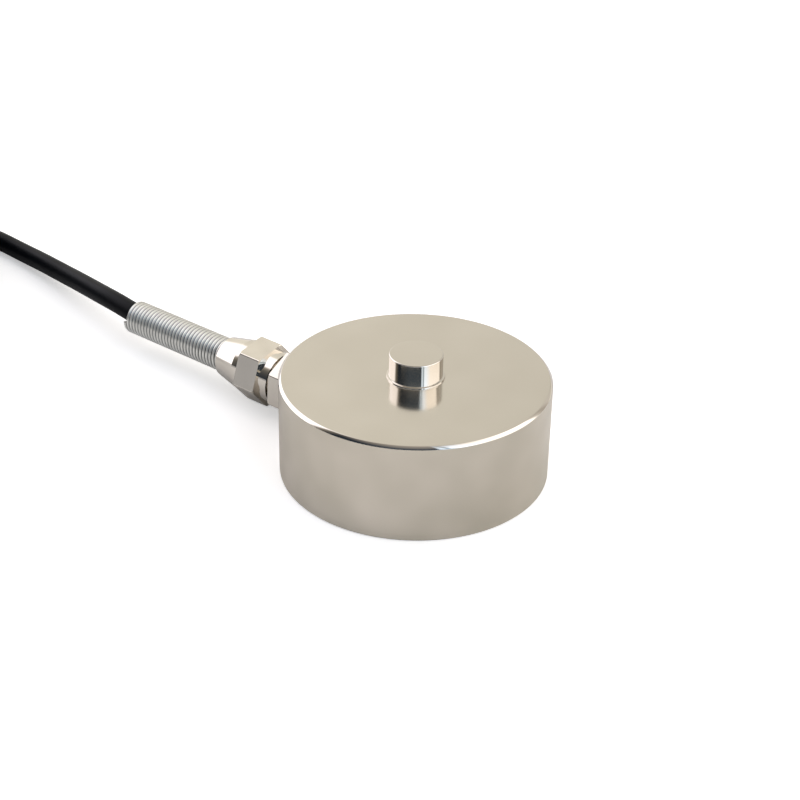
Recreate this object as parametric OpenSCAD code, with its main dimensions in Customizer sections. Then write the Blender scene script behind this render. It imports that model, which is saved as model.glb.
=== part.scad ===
// Miniature button load cell: a turned steel body with a load button, gauges
// on the hidden side of its roof, a side cable gland with a coiled strain
// relief spring, and a screened cable that is wound into a storage coil.
// Millimetres. +Z is the load axis, +X runs along the cable gland, and the
// origin is the middle of the base that stands on the mounting surface.

/* [Body] */
// Outer diameter of the body
body_d = 38; // [37:0.5:44]
// Height of the body without its button
body_h = 14.6; // [14.2:0.2:18]
// Polished chamfer round the top edge
top_chamfer = 0.4; // [0.2:0.1:0.8]
// Broken edge round the base
base_chamfer = 0.2; // [0.1:0.1:0.4]

/* [Load button] */
// Diameter of the button that takes the load
button_d = 7.5; // [6:0.5:8.5]
// Height of the button above the body's top
button_h = 3.5; // [2:0.5:5]
// Edge break round the button's top
button_edge = 0.1; // [0.05:0.05:0.3]
// Width of the small step at the foot of the button
step_w = 0.3; // [0.2:0.1:0.6]
// Height of that step
step_h = 0.25; // [0.15:0.05:0.5]

/* [Gauge cavity] */
// Thickness of the roof that bends under load
roof_t = 2.6; // [2:0.1:3.2]
// Diameter of the solid column under the button
column_d = 9; // [8:0.5:10]
// Free travel between the column and the bottom cover
stop_gap = 0.3; // [0.1:0.1:0.6]
// Diameter of the lower, wider part of the cavity
cavity_d = 25.8; // [25:0.2:26.4]
// Width of the ledge that the terminal board is glued to
ledge_w = 1.3; // [0.8:0.1:1.6]
// Radius in the corner between the roof and the cavity wall
root_r = 0.8; // [0.4:0.1:1]

/* [Bottom cover] */
// Thickness of the welded bottom cover
cover_t = 1.2; // [0.8:0.1:1.4]
// Width of the rim that the cover sits on
cover_rim = 0.9; // [0.6:0.1:1]
// Depth of the cover's outer face below the base plane
cover_inset = 0.3; // [0.1:0.1:0.5]

/* [Mounting holes] */
// Number of tapped holes in the base
hole_count = 3; // [2:1:6]
// Diameter of the circle that they stand on
hole_pcd = 32; // [31.6:0.2:33]
// Tapping diameter of each hole
hole_d = 2.5; // [2.1:0.1:2.6]
// Depth of each hole
hole_depth = 5; // [4:0.5:7]

/* [Cable gland] */
// Height of the gland's axis above the base
gland_z = 4.9; // [4.9:0.1:5.6]
// Thread diameter at both ends of the gland body
thread_d = 6; // [5.6:0.1:6.2]
// Diameter of the round shoulder that seats on the body
shoulder_d = 7.9; // [7.6:0.1:8.1]
// Height of that shoulder
shoulder_h = 0.6; // [0.4:0.1:1]
// Depth of the flat seat milled into the body's side
seat_depth = 0.5; // [0.5:0.1:0.9]
// Width across the flats of the gland body
gland_af = 8.2; // [8:0.1:8.3]
// Length of its hexagon
gland_hex_l = 5.1; // [4:0.1:6]
// Turn of its hexagon about the gland's axis
gland_turn = 4; // [0:1:59]
// Length of the threaded neck that carries the cap
neck_l = 4.7; // [4:0.1:5.5]
// Depth of the seal's pocket in the neck
pocket_l = 3.5; // [3:0.1:4]

/* [Cap nut] */
// Width across the flats of the cap
cap_af = 8.5; // [8:0.1:8.7]
// Turn of its hexagon about the gland's axis
cap_turn = 20; // [0:1:59]
// Gap that is left between the tightened cap and the gland body
cap_gap = 0.6; // [0.3:0.05:0.8]
// Diameter of the round collar behind the hexagon
collar_d = 7.9; // [7.4:0.1:8]
// Length of that collar
collar_l = 1.8; // [1:0.05:2.5]
// Length of the cap's hexagon
cap_hex_l = 4; // [3.5:0.1:5]
// Length of the round shoulder between the hexagon and the nose
cap_shoulder_l = 1.2; // [0.8:0.1:1.6]
// Diameter of that shoulder, where the nose starts
nose_root_d = 7.9; // [7.4:0.1:8]
// Length of the tapered nose
nose_l = 3.95; // [3.5:0.05:5]
// Diameter of the nose at its tip
nose_tip_d = 6.2; // [5.9:0.1:6.4]

/* [Strain relief spring] */
// Outer diameter of the spring
spring_d = 5.3; // [5.1:0.1:5.4]
// Diameter of its wire
wire_d = 0.6; // [0.5:0.05:0.64]
// Distance from one turn to the next
wire_pitch = 0.656; // [0.65:0.002:0.7]
// Number of turns
spring_turns = 33; // [24:1:40]
// Depth that the spring is let into the cap's nose
spring_seat = 1.8; // [1.2:0.1:2.4]

/* [Cable] */
// Diameter of the cable's jacket
cable_d = 3.2; // [3:0.1:3.2]
// Diameter of each insulated core
core_d = 0.8; // [0.6:0.05:0.8]
// Diameter of the bare strand inside a core
strand_d = 0.5; // [0.3:0.05:0.55]
// Width of the storage coil at the middle of its turns
coil_mid_d = 38; // [36:0.5:38]
// Turns that lie beside each other in the coil
coil_wide = 4; // [3:1:4]
// Layers of turns on each other
coil_high = 4; // [3:1:4]
// Distance from one turn of the coil to the next
coil_pitch = 3.3; // [3.25:0.05:3.4]

/* [Cable end] */
// Length of the shrink sleeve over the end of the jacket
sleeve_l = 8; // [6:0.5:12]
// Wall of that sleeve
sleeve_t = 0.35; // [0.25:0.05:0.5]
// Length of the sleeve that reaches past the end of the jacket
sleeve_over = 3; // [2:0.5:4]
// Length of the tinned tip on each lead
tip_l = 4; // [3:0.5:6]
// Width of the tie round the coil
tie_w = 3; // [2:0.5:5]
// Thickness of the tie
tie_t = 0.4; // [0.3:0.05:0.45]

/* [Gauges and board] */
// Length of a strain gauge along the radius
gauge_l = 3.4; // [3:0.1:4]
// Width of a strain gauge
gauge_w = 2.4; // [2:0.1:2.8]
// Thickness of a gauge's backing film
gauge_t = 0.1; // [0.08:0.02:0.2]
// Diameter of the wire from a gauge to the board
bridge_d = 0.25; // [0.2:0.05:0.3]
// Thickness of the terminal board
board_t = 0.8; // [0.6:0.1:1]
// Diameter of the hole in the terminal board
board_bore = 11; // [10.6:0.2:11.6]
// Thickness of a copper pad
pad_t = 0.1; // [0.05:0.05:0.15]
// Length of a balance resistor
resistor_l = 2; // [1.6:0.1:2.4]

/* [Fits] */
// Gap all round the welded cover
cover_clear = 0.05; // [0.02:0.01:0.1]
// Gap all round each screwed or seated gland piece
gland_clear = 0.05; // [0.02:0.01:0.08]
// Gap all round the cable where it passes through metal
cable_clear = 0.15; // [0.1:0.05:0.2]
// Gap between the terminal board and the cavity wall
board_clear = 0.2; // [0.1:0.05:0.3]
// Gap between the jacket and its sleeve
end_clear = 0.02; // [0.02:0.01:0.05]
// Gap between the coil and its tie
tie_clear = 0.1; // [0.05:0.05:0.2]

/* [Hidden] */

$fn = 96;
eps = 0.01;

metal = [0.72, 0.71, 0.68];
bright = [0.84, 0.84, 0.83];
jacket = [0.08, 0.08, 0.09];

// Heights inside the body
cover_z = cover_inset + cover_t;
column_z = cover_z + stop_gap;
roof_z = body_h - roof_t;
ledge_z = gland_z + thread_d / 2 + 0.5;
cover_seat_r = cavity_d / 2 + cover_rim;
upper_r = cavity_d / 2 - ledge_w;

// Places along the gland's axis, from the body outward
seat_x = body_d / 2 - seat_depth;
shank_x = cavity_d / 2 + 0.5;
hex_x = seat_x + shoulder_h;
neck_x = hex_x + gland_hex_l;
neck_end_x = neck_x + neck_l;
collar_x = neck_x + cap_gap;
cap_hex_x = collar_x + collar_l;
cap_shoulder_x = cap_hex_x + cap_hex_l;
nose_x = cap_shoulder_x + cap_shoulder_l;
cap_end_x = nose_x + nose_l;

// Seal, washer and the cap's inner shoulder
thread_r = thread_d / 2;
shank_r = thread_r - gland_clear;
cable_r = cable_d / 2;
cable_bore_r = cable_r + cable_clear;
pocket_r = shank_r - 0.6;
pocket_x = neck_end_x - pocket_l;
seal_proud = 0.3;
washer_x = neck_end_x + seal_proud;
washer_t = 0.6;
cap_floor_x = washer_x + washer_t;
groove_r = shank_r - 0.5;
groove_l = 1;
lead_in = 0.25;
bar_spare = 0.3;

// Spring
spring_x = cap_end_x - spring_seat;
spring_r = spring_d / 2;
spring_pocket_r = spring_r + gland_clear;
wire_sides = 6;
turn_steps = 12;

// Cable: the straight run lies inside the gland and spring, and the free
// run's points are chosen by hand on the line that the real cable takes
jacket_x = cavity_d / 2 - 1.2;
straight_run = [for (x = [jacket_x, 20, 28, 36, 44, 50]) [x, 0, gland_z]];
free_run = [
    [56, -0.2, 5.2], [61, -1.05, 5.1], [67, -2.4, 4.55], [74, -4.3, 3.6], [80, -5.9, 2.75],
    [87, -7.35, 2.1], [93, -8.3, 1.67], [99, -8.85, 1.6], [103, -8.95, 1.6],
];
cable_sides = 8;

// Storage coil
coil_x = 116;
coil_y = 15.05;
coil_z = tie_t + tie_clear;
coil_w = coil_wide * coil_pitch;
coil_h = coil_high * coil_pitch;
coil_r = coil_mid_d / 2;
coil_top = coil_z + coil_h;
coil_corner = 1.5;
tie_at = 280;
lap_t = 1;
lap_w = 3.6;
outer_lane_r = coil_r + (coil_w - coil_pitch) / 2;
tail_from = 345;
tail_to = 470;
inward_from = 330;
inward_to = 425;
tail_steps = 7;
tail_r = coil_r - 1.5;
tail_end_l = 8;
end_gap = 0.2;

// Gauges and board
gauge_r = column_d / 2 + root_r + 0.2 + gauge_l / 2;
board_r = cavity_d / 2 - board_clear;
board_z = ledge_z - board_t;
pad_r = (board_bore / 2 + board_r) / 2;
grid_t = 0.04;

function unit(v) = v / norm(v);
function ring_angle(i, count) = 360 * i / count;
function corner_radius(af) = af / 2 / cos(30);

// Points of one ring round a route's point, square to its direction
function route_ring(route, i, r, sides) =
    let(
        ahead = route[min(i + 1, len(route) - 1)],
        behind = route[max(i - 1, 0)],
        along = unit(ahead - behind),
        side = unit(cross([0, 0, 1], along)),
        up = cross(along, side)
    )
    [for (k = [0:sides - 1])
        let(a = 360 * (k + 0.5) / sides)
        route[i] + r * (cos(a) * side + sin(a) * up)];

// Faces of a tube made of rings with the same number of points
function tube_faces(rings, sides) = concat(
    [[for (k = [0:sides - 1]) k]],
    [[for (k = [0:sides - 1]) rings * sides - 1 - k]],
    [for (i = [0:rings - 2], k = [0:sides - 1])
        let(n = (k + 1) % sides, a = i * sides, b = a + sides)
        [a + n, a + k, b + k, b + n]]
);

// Round tube along a route
module route_tube(route, r, sides) {
    points = [for (i = [0:len(route) - 1]) each route_ring(route, i, r, sides)];
    polyhedron(points, tube_faces(len(route), sides), convexity = 6);
}

// Turns what is drawn along +Z to run along the gland's axis
module along_gland(x = 0) {
    translate([x, 0, gland_z])
        rotate([0, 90, 0])
            children();
}

// Disc or bore along the gland's axis from one place to another
module gland_round(from_x, to_x, r) {
    along_gland(from_x)
        cylinder(h = to_x - from_x, r = r);
}

// Ring with a true bore along the gland's axis
module gland_ring(from_x, to_x, r, bore_r) {
    difference() {
        gland_round(from_x, to_x, r);
        gland_round(from_x - eps, to_x + eps, bore_r);
    }
}

// Piece turned from hexagon bar: a half profile of [radius, x] points, with
// what stands past the flats cut away
module turned_from_hex(profile, af, turn) {
    xs = [for (point = profile) point[1]];
    intersection() {
        along_gland()
            rotate_extrude()
                polygon(profile);
        along_gland(min(xs) - 1)
            rotate([0, 0, turn])
                cylinder(h = max(xs) - min(xs) + 2, r = corner_radius(af), $fn = 6);
    }
}

// Half profile of the body, from the column's foot round to the axis
module body_profile() {
    r = body_d / 2;
    button_r = button_d / 2;
    column_r = column_d / 2;
    polygon([
        [0, column_z],
        [column_r, column_z],
        [column_r, roof_z],
        [upper_r, roof_z],
        [upper_r, ledge_z],
        [cavity_d / 2, ledge_z],
        [cavity_d / 2, cover_z],
        [cover_seat_r, cover_z],
        [cover_seat_r, 0],
        [r - base_chamfer, 0],
        [r, base_chamfer],
        [r, body_h - top_chamfer],
        [r - top_chamfer, body_h],
        [button_r + step_w, body_h],
        [button_r + step_w, body_h + step_h],
        [button_r, body_h + step_h],
        [button_r, body_h + button_h - button_edge],
        [button_r - button_edge, body_h + button_h],
        [0, body_h + button_h],
    ]);
}

// Fillet between the roof and an upright wall, drawn as a ring
module root_fillet(wall_r, inward) {
    difference() {
        translate([inward ? wall_r - root_r : wall_r, roof_z - root_r])
            square([root_r, root_r + eps]);
        translate([inward ? wall_r - root_r : wall_r + root_r, roof_z - root_r])
            circle(r = root_r);
    }
}

// One tapped hole, drilled upward with a cone at its end
module base_hole() {
    translate([0, 0, -eps])
        cylinder(h = hole_depth + eps, d = hole_d);
    translate([0, 0, hole_depth - eps])
        cylinder(h = hole_d / 4, d1 = hole_d, d2 = 0);
}

// Turned body in one piece: ring wall, bending roof, column and load button
module elastic_body() {
    color(metal)
        difference() {
            rotate_extrude($fn = 192) {
                body_profile();
                root_fillet(column_d / 2, false);
                root_fillet(upper_r, true);
            }
            gland_round(cavity_d / 2 - 1, body_d / 2 + 1, thread_r);
            gland_round(seat_x, body_d / 2 + 1, shoulder_d / 2 + gland_clear);
            for (i = [0:hole_count - 1])
                rotate([0, 0, ring_angle(i + 0.5, hole_count)])
                    translate([hole_pcd / 2, 0, 0])
                        base_hole();
        }
}

// Thin disc that closes the gauge cavity, with the edge broken for its weld
module bottom_cover() {
    r = cover_seat_r - cover_clear;
    weld_edge = 0.2;
    color(metal)
        rotate_extrude()
            polygon([
                [0, cover_inset], [r - weld_edge, cover_inset], [r, cover_inset + weld_edge],
                [r, cover_z], [0, cover_z],
            ]);
}

// Foil gauge under the roof: backing film, measuring grid and two tabs
module gauge(index) {
    bars = 5;
    bar_w = gauge_w / (2 * bars + 3);
    tab = gauge_w / 4;
    rotate([0, 0, 45 + ring_angle(index - 1, 4)])
        translate([gauge_r, 0, roof_z - gauge_t]) {
            color([0.86, 0.62, 0.25])
                translate([-gauge_l / 2, -gauge_w / 2, 0])
                    cube([gauge_l, gauge_w, gauge_t]);
            color([0.75, 0.72, 0.62])
                translate([0, 0, -grid_t]) {
                    for (k = [0:bars - 1])
                        translate([-gauge_l / 2 + 0.4, (2 * k - bars + 0.5) * bar_w, 0])
                            cube([gauge_l - 1.5, bar_w, grid_t + eps]);
                    translate([-gauge_l / 2 + 0.3, (0.5 - bars) * bar_w, 0])
                        cube([bar_w, (2 * bars - 1) * bar_w, grid_t + eps]);
                    for (side = [-1, 1])
                        translate([gauge_l / 2 - 0.4 - tab, side * gauge_w / 4 - tab / 2, 0])
                            cube([tab, tab, grid_t + eps]);
                }
        }
}

// Enamelled wire from a gauge's tab down to the terminal board
module bridge_wire(index) {
    tab = gauge_w / 4;
    top = roof_z - gauge_t - grid_t;
    color([0.72, 0.35, 0.14])
        rotate([0, 0, 45 + ring_angle(index - 1, 4)])
            translate([gauge_r + gauge_l / 2 - 0.4 - tab / 2, gauge_w / 4, ledge_z])
                cylinder(h = top - ledge_z, d = bridge_d, $fn = 24);
}

// Ring-shaped terminal board under its ledge, with copper pads below
module terminal_board() {
    color([0.10, 0.38, 0.20])
        difference() {
            translate([0, 0, board_z])
                cylinder(h = board_t, r = board_r);
            translate([0, 0, board_z - eps])
                cylinder(h = board_t + 2 * eps, d = board_bore);
        }
    color([0.85, 0.60, 0.30])
        for (core = [0:3])
            translate([core_pad(core)[0], core_pad(core)[1], board_z - pad_t])
                cylinder(h = pad_t + eps, r = 0.7, $fn = 32);
}

// Surface-mount resistor that balances the bridge
module balance_resistor(index) {
    width = resistor_l * 0.6;
    height = 0.5;
    rotate([0, 0, 120 * index])
        translate([pad_r, 0, board_z - height]) {
            color([0.12, 0.12, 0.13])
                translate([-width / 2, -resistor_l / 2, 0])
                    cube([width, resistor_l, height]);
            color(bright)
                for (side = [-1, 1])
                    translate([-width / 2 - 0.03, side * (resistor_l / 2 - 0.15) - 0.2, -0.03])
                        cube([width + 0.06, 0.4, height + 0.03]);
        }
}

// Cores run from the jacket's end to pads that fan out on the board
core_fan = [-44, -18, 18, 44];
core_step = core_d / 2 + 0.05;
core_steps = 7;
function core_pad(i) = [pad_r * cos(core_fan[i]), pad_r * sin(core_fan[i]), board_z];
function core_start(i) = [
    jacket_x - end_gap,
    (i < 2 ? -1 : 1) * core_step,
    gland_z + (i == 0 || i == 3 ? -1 : 1) * core_step,
];
function bezier(a, b, c, d, t) =
    pow(1 - t, 3) * a + 3 * t * pow(1 - t, 2) * b + 3 * t * t * (1 - t) * c + pow(t, 3) * d;
function core_route(i) =
    let(
        start = core_start(i),
        pad = core_pad(i) - [0, 0, pad_t + core_d / 2],
        across = unit([pad[0] - start[0], pad[1] - start[1], 0])
    )
    [for (k = [0:core_steps])
        bezier(start, start - [1.4, 0, 0], pad - 1.6 * across, pad, k / core_steps)];

module core(i, paint) {
    color(paint)
        route_tube(core_route(i), core_d / 2, 6);
}

// Gland body: threaded shank, groove, shoulder, hexagon and seal neck
module gland_body() {
    bar_r = corner_radius(gland_af) + bar_spare;
    edge_l = (bar_r - gland_af / 2) * tan(30);
    color(bright)
        difference() {
            turned_from_hex([
                [0, shank_x],
                [shank_r - lead_in, shank_x],
                [shank_r, shank_x + lead_in],
                [shank_r, seat_x - groove_l],
                [groove_r, seat_x - groove_l],
                [groove_r, seat_x],
                [shoulder_d / 2, seat_x],
                [shoulder_d / 2, hex_x],
                [bar_r, hex_x],
                [bar_r, neck_x - edge_l],
                [gland_af / 2, neck_x],
                [shank_r, neck_x],
                [shank_r, neck_end_x - lead_in],
                [shank_r - lead_in, neck_end_x],
                [0, neck_end_x],
            ], gland_af, gland_turn);
            gland_round(shank_x - 1, neck_end_x + 1, cable_bore_r);
            gland_round(pocket_x, neck_end_x + 1, pocket_r);
        }
}

// Rubber ring in the groove behind the shoulder
module gland_o_ring() {
    section_r = (thread_r - groove_r) / 2 - 0.01;
    color([0.05, 0.05, 0.05])
        along_gland(seat_x - groove_l / 2)
            rotate_extrude()
                translate([(thread_r + groove_r) / 2, 0])
                    circle(r = section_r, $fn = 32);
}

// Rubber sleeve that the cap squeezes onto the cable
module gland_seal() {
    color([0.13, 0.13, 0.14])
        gland_ring(pocket_x, washer_x, pocket_r - gland_clear, cable_r);
}

// Washer that keeps the turning cap off the rubber
module thrust_washer() {
    color([0.80, 0.68, 0.35])
        gland_ring(washer_x, cap_floor_x, thread_r - 0.1, cable_bore_r);
}

// Cap: round collar, hexagon, round shoulder and tapered nose
module cap_nut() {
    bar_r = corner_radius(cap_af) + bar_spare;
    edge_l = (bar_r - cap_af / 2) * tan(30);
    root_r = nose_root_d / 2;
    color(bright)
        difference() {
            turned_from_hex([
                [0, collar_x],
                [collar_d / 2, collar_x],
                [collar_d / 2, cap_hex_x],
                [cap_af / 2, cap_hex_x],
                [bar_r, cap_hex_x + edge_l],
                [bar_r, cap_shoulder_x - edge_l],
                [cap_af / 2, cap_shoulder_x],
                [root_r, cap_shoulder_x],
                [root_r, nose_x],
                [nose_tip_d / 2, cap_end_x],
                [0, cap_end_x],
            ], cap_af, cap_turn);
            gland_round(collar_x - 1, cap_floor_x, thread_r);
            gland_round(collar_x, cap_end_x + 1, cable_bore_r);
            gland_round(spring_x - gland_clear, cap_end_x + 1, spring_pocket_r);
        }
}

// Points of one ring of the spring's wire at a step along its helix
function wire_ring(step) =
    let(
        turn = step / turn_steps,
        mid_r = spring_r - wire_d / 2,
        at = spring_x + wire_d / 2 + turn * wire_pitch,
        out = [0, cos(360 * turn), sin(360 * turn)]
    )
    [for (k = [0:wire_sides - 1])
        let(a = 360 * (k + 0.5) / wire_sides)
        [at, 0, gland_z] + (mid_r + wire_d / 2 * cos(a)) * out
            + [wire_d / 2 * sin(a), 0, 0]];

// Close-wound spring that keeps the cable from kinking at the gland
module strain_spring() {
    steps = spring_turns * turn_steps;
    color(bright)
        polyhedron(
            [for (i = [0:steps]) each wire_ring(i)],
            tube_faces(steps + 1, wire_sides),
            convexity = 12
        );
}

// Jacketed cable from inside the body to where the storage coil starts
module cable() {
    color(jacket)
        route_tube(concat(straight_run, free_run), cable_r, cable_sides);
}

// Outer shape of the storage coil
module cable_coil() {
    color(jacket)
        translate([coil_x, coil_y, coil_z])
            rotate_extrude()
                translate([coil_r, coil_h / 2])
                    rounded_section(coil_w, coil_h, coil_corner);
}

// Rectangle with round corners, about its middle
module rounded_section(w, h, r) {
    square([w - 2 * r, h], center = true);
    square([w, h - 2 * r], center = true);
    for (x = [-1, 1], y = [-1, 1])
        translate([x * (w / 2 - r), y * (h / 2 - r)])
            circle(r = r, $fn = 32);
}

// Ribbon tie round the coil's bundle, with its lapped end at the outside
module coil_tie() {
    inner = 2 * tie_clear;
    outer = inner + 2 * tie_t;
    color([0.16, 0.16, 0.17])
        translate([coil_x, coil_y, coil_z + coil_h / 2])
            rotate([0, 0, tie_at])
                translate([coil_r, 0, 0])
                    rotate([90, 0, 0]) {
                        translate([0, 0, -tie_w / 2])
                            linear_extrude(tie_w)
                                difference() {
                                    rounded_section(coil_w + outer, coil_h + outer, coil_corner + tie_t);
                                    rounded_section(coil_w + inner, coil_h + inner, coil_corner);
                                }
                        translate([(coil_w + outer) / 2 - eps, -lap_w / 2, -tie_w / 2])
                            cube([lap_t, lap_w, tie_w]);
                    }
}

function on_coil(angle, r, z) = [coil_x + r * cos(angle), coil_y + r * sin(angle), z];
function round_coil(angle) = [-sin(angle), cos(angle), 0];

// Last stretch of cable: it has climbed onto the coil from the outermost
// turn, drifts inward on top of it and ends in a straight
tail_z = coil_top + cable_r + sleeve_t;
tail_end = on_coil(tail_to, tail_r, tail_z) + tail_end_l * round_coil(tail_to);
function eased(t) = t < 0 ? 0 : t > 1 ? 1 : t * t * (3 - 2 * t);
function tail_radius(angle) =
    outer_lane_r + (tail_r - outer_lane_r) * eased((angle - inward_from) / (inward_to - inward_from));
tail_route = concat(
    [for (i = [0:tail_steps])
        let(angle = tail_from + (tail_to - tail_from) * i / tail_steps)
        on_coil(angle, tail_radius(angle), tail_z)],
    [tail_end]
);

module cable_tail() {
    color(jacket)
        route_tube(tail_route, cable_r, cable_sides);
}

// Shrink sleeve over the end of the jacket and the start of the leads
module end_sleeve() {
    sleeve_r = cable_r + sleeve_t;
    color([0.04, 0.04, 0.04])
        translate(tail_end + (sleeve_over - sleeve_l) * round_coil(tail_to))
            rotate([-90, 0, tail_to])
                difference() {
                    cylinder(h = sleeve_l, r = sleeve_r);
                    translate([0, 0, -eps])
                        cylinder(h = sleeve_l + 2 * eps, r = cable_r + end_clear);
                }
}

// Colour-coded leads, fanned out on the coil, each with a tinned tip
lead_fan = [-3.6, -1.2, 1.2, 3.6];
lead_turn = [124, 119, 114, 109];
lead_steps = 9;
function lead_start(i) =
    tail_end + end_gap * round_coil(tail_to)
        + (i < 2 ? -1 : 1) * core_step * [cos(tail_to), sin(tail_to), 0]
        + [0, 0, (i == 0 || i == 3 ? 1 : -1) * core_step];
function lead_stop(i) = on_coil(tail_to + lead_turn[i], coil_r + lead_fan[i], coil_top + core_d / 2);
function lead_route(i) = [for (k = [0:lead_steps])
    bezier(
        lead_start(i),
        lead_start(i) + 14 * round_coil(tail_to),
        lead_stop(i) - 14 * round_coil(tail_to + lead_turn[i]),
        lead_stop(i),
        k / lead_steps
    )];
function tip_route(i) =
    let(along = round_coil(tail_to + lead_turn[i]))
    [lead_stop(i) - 0.5 * along, lead_stop(i) + tip_l * along];

module lead(i, paint) {
    color(paint)
        route_tube(lead_route(i), core_d / 2, 6);
    color(bright)
        route_tube(tip_route(i), strand_d / 2, 6);
}

elastic_body();
bottom_cover();
gauge(1);  // gauge_1
gauge(2);  // gauge_2
gauge(3);  // gauge_3
gauge(4);  // gauge_4
bridge_wire(1);  // bridge_wire_1
bridge_wire(2);  // bridge_wire_2
bridge_wire(3);  // bridge_wire_3
bridge_wire(4);  // bridge_wire_4
terminal_board();
balance_resistor(1);  // balance_resistor_1
balance_resistor(2);  // balance_resistor_2
core(0, "firebrick");  // core_red
core(1, [0.09, 0.09, 0.10]);  // core_black
core(2, "seagreen");  // core_green
core(3, "whitesmoke");  // core_white
gland_body();
gland_o_ring();
gland_seal();
thrust_washer();
cap_nut();
strain_spring();
cable();
cable_coil();
coil_tie();
cable_tail();
end_sleeve();
lead(0, "firebrick");  // lead_red
lead(1, [0.09, 0.09, 0.10]);  // lead_black
lead(2, "seagreen");  // lead_green
lead(3, "whitesmoke");  // lead_white
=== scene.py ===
"""Looks of a miniature button load cell: satin nickel body, bright cable gland with a coiled
strain relief spring, black cable wound into a tied storage coil, and colour-coded leads.

The part's own frame: +Z is the load axis and +X runs along the cable gland. Sizes of the part are
written in millimetres and angles in degrees. MM turns a size into metres.
"""

import math

import bpy
from mathutils import Matrix, Vector


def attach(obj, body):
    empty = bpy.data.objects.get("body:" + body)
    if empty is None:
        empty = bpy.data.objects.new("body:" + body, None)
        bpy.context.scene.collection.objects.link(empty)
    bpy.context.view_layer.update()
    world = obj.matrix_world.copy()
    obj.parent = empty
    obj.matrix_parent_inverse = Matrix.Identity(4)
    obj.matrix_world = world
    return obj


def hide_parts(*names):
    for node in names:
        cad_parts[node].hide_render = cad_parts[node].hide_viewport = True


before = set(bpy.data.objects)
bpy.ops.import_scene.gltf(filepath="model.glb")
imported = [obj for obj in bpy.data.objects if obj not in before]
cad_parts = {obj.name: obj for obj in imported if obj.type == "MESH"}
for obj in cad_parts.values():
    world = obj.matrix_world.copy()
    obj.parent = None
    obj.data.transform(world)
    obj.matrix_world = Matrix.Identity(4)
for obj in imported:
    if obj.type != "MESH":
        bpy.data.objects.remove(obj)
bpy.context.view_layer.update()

MM = 0.001

# Camera: where it stands, what it looks at, its roll, its lens and sensor, and its range in metres
CAMERA_AT = (-129.766, 168.304, 133.808)
CAMERA_AIM = (1.653, 1.300, 10.675)
CAMERA_ROLL = 1.12
CAMERA_LENS = 79.42
CAMERA_SENSOR = 36
CAMERA_NEAR, CAMERA_FAR = 0.01, 20

# How many sides stand for a round section, and how many steps for a turn, a bend or an edge
BODY_SIDES, GLAND_SIDES, SMALL_SIDES, TAP_SIDES = 192, 96, 64, 32
CABLE_SIDES, LEAD_SIDES, WIRE_SIDES = 20, 12, 14
SPRING_STEPS, CURVE_STEPS, ROOT_STEPS, EDGE_STEPS = 36, 4, 6, 2

# Edges: a break's width, the turn past which an edge is broken, and past which shading is sharp.
# The gland's turned pieces have one angle for both.
EDGE_BREAK, BREAK_ANGLE = 0.05, 25
SHARP_ANGLE, WIRE_ANGLE, TURNED_ANGLE = 40, 50, 10

# How far a cutting solid reaches past what it cuts, and the least Z of a level face's normal
OVERRUN = 1
LEVEL = 0.9

# Body: outer form and load button
BODY_R = 19
BODY_TOP = 14.6
BUTTON_R = 3.75
BUTTON_TOP = 18.1
BUTTON_EDGE = 0.1
STEP_R = 4.05
STEP_TOP = 14.85
TOP_CHAMFER = 0.4
BASE_CHAMFER = 0.2

# Body: its finishes, and how far from a size the middle of such a face lies at most or at least
GROUND, FACED, POLISHED = 0, 1, 2
STEP_BELOW, BUTTON_SHORT, CHAMFER_IN, CHAMFER_SHORT, FACE_BELOW = 0.5, 0.02, 0.04, 0.01, 0.1

# Body: gauge cavity, cover seat, and the gland's bore and seat
COLUMN_R, COLUMN_FOOT = 4.5, 1.8
ROOF_Z, ROOT_R = 12, 0.8
UPPER_R, LEDGE_Z, CAVITY_R = 11.6, 8.4, 12.9
COVER_R, COVER_Z = 13.8, 1.5
GLAND_Z = 4.9
GLAND_BORE_R = 3
SEAT_R, SEAT_X = 4, 18.5

# Body: tapped holes, with a countersunk mouth, a thread and a drilled tip
HOLE_COUNT, HOLE_PCR, HOLE_R, HOLE_DEPTH = 3, 16, 1.25, 5
HOLE_THREAD_R, HOLE_THREAD_Z, HOLE_PITCH = 1.5, 0.2, 0.5
HOLE_FLARE, HOLE_MOUTH, HOLE_TIP_R = 0.3, 0.15, 0.05

# Cover disc: its clearance, its inset, and its weld as (in from the rim, proud of the disc)
COVER_CLEAR, COVER_INSET = 0.05, 0.3
WELD_BEAD = [(0.35, 0), (0.25, 0.06), (0.1, 0.1), (0, 0)]
WELD_SPOTS = 240

# Strain gauges under the roof, and the height of the board's underside
GAUGE_COUNT, GAUGE_T, BOARD_Z = 4, 0.1, 7.6

# Gland body, along its axis
SHANK_X, SHANK_R, LEAD_IN = 13.4, 2.95, 0.25
GROOVE_R, GROOVE_X = 2.45, 17.5
SHOULDER_R, HEX_X, HEX_END_X, NECK_END_X = 3.95, 19.1, 24.2, 28.9
GLAND_AF, GLAND_TURN = 8.2, 4
GLAND_PITCH, THREAD_DEPTH, THREAD_GAP = 0.5, 0.3, 0.3
SEAL_POCKET_R, SEAL_POCKET_X = 2.35, 25.4
CABLE_BORE_R = 1.75

# Cap nut, along the same axis
CAP_AF, CAP_TURN = 8.5, 20
COLLAR_R, COLLAR_X, CAP_HEX_X = 3.95, 24.8, 26.6
SHOULDER_X, NOSE_X, CAP_END_X = 30.6, 31.8, 35.75
NOSE_ROOT_R, NOSE_TIP_R = 3.95, 3.1
CAP_FLOOR_X, CAP_THREAD_IN, CAP_THREAD_DEPTH = 29.8, 0.2, 0.04

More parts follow.
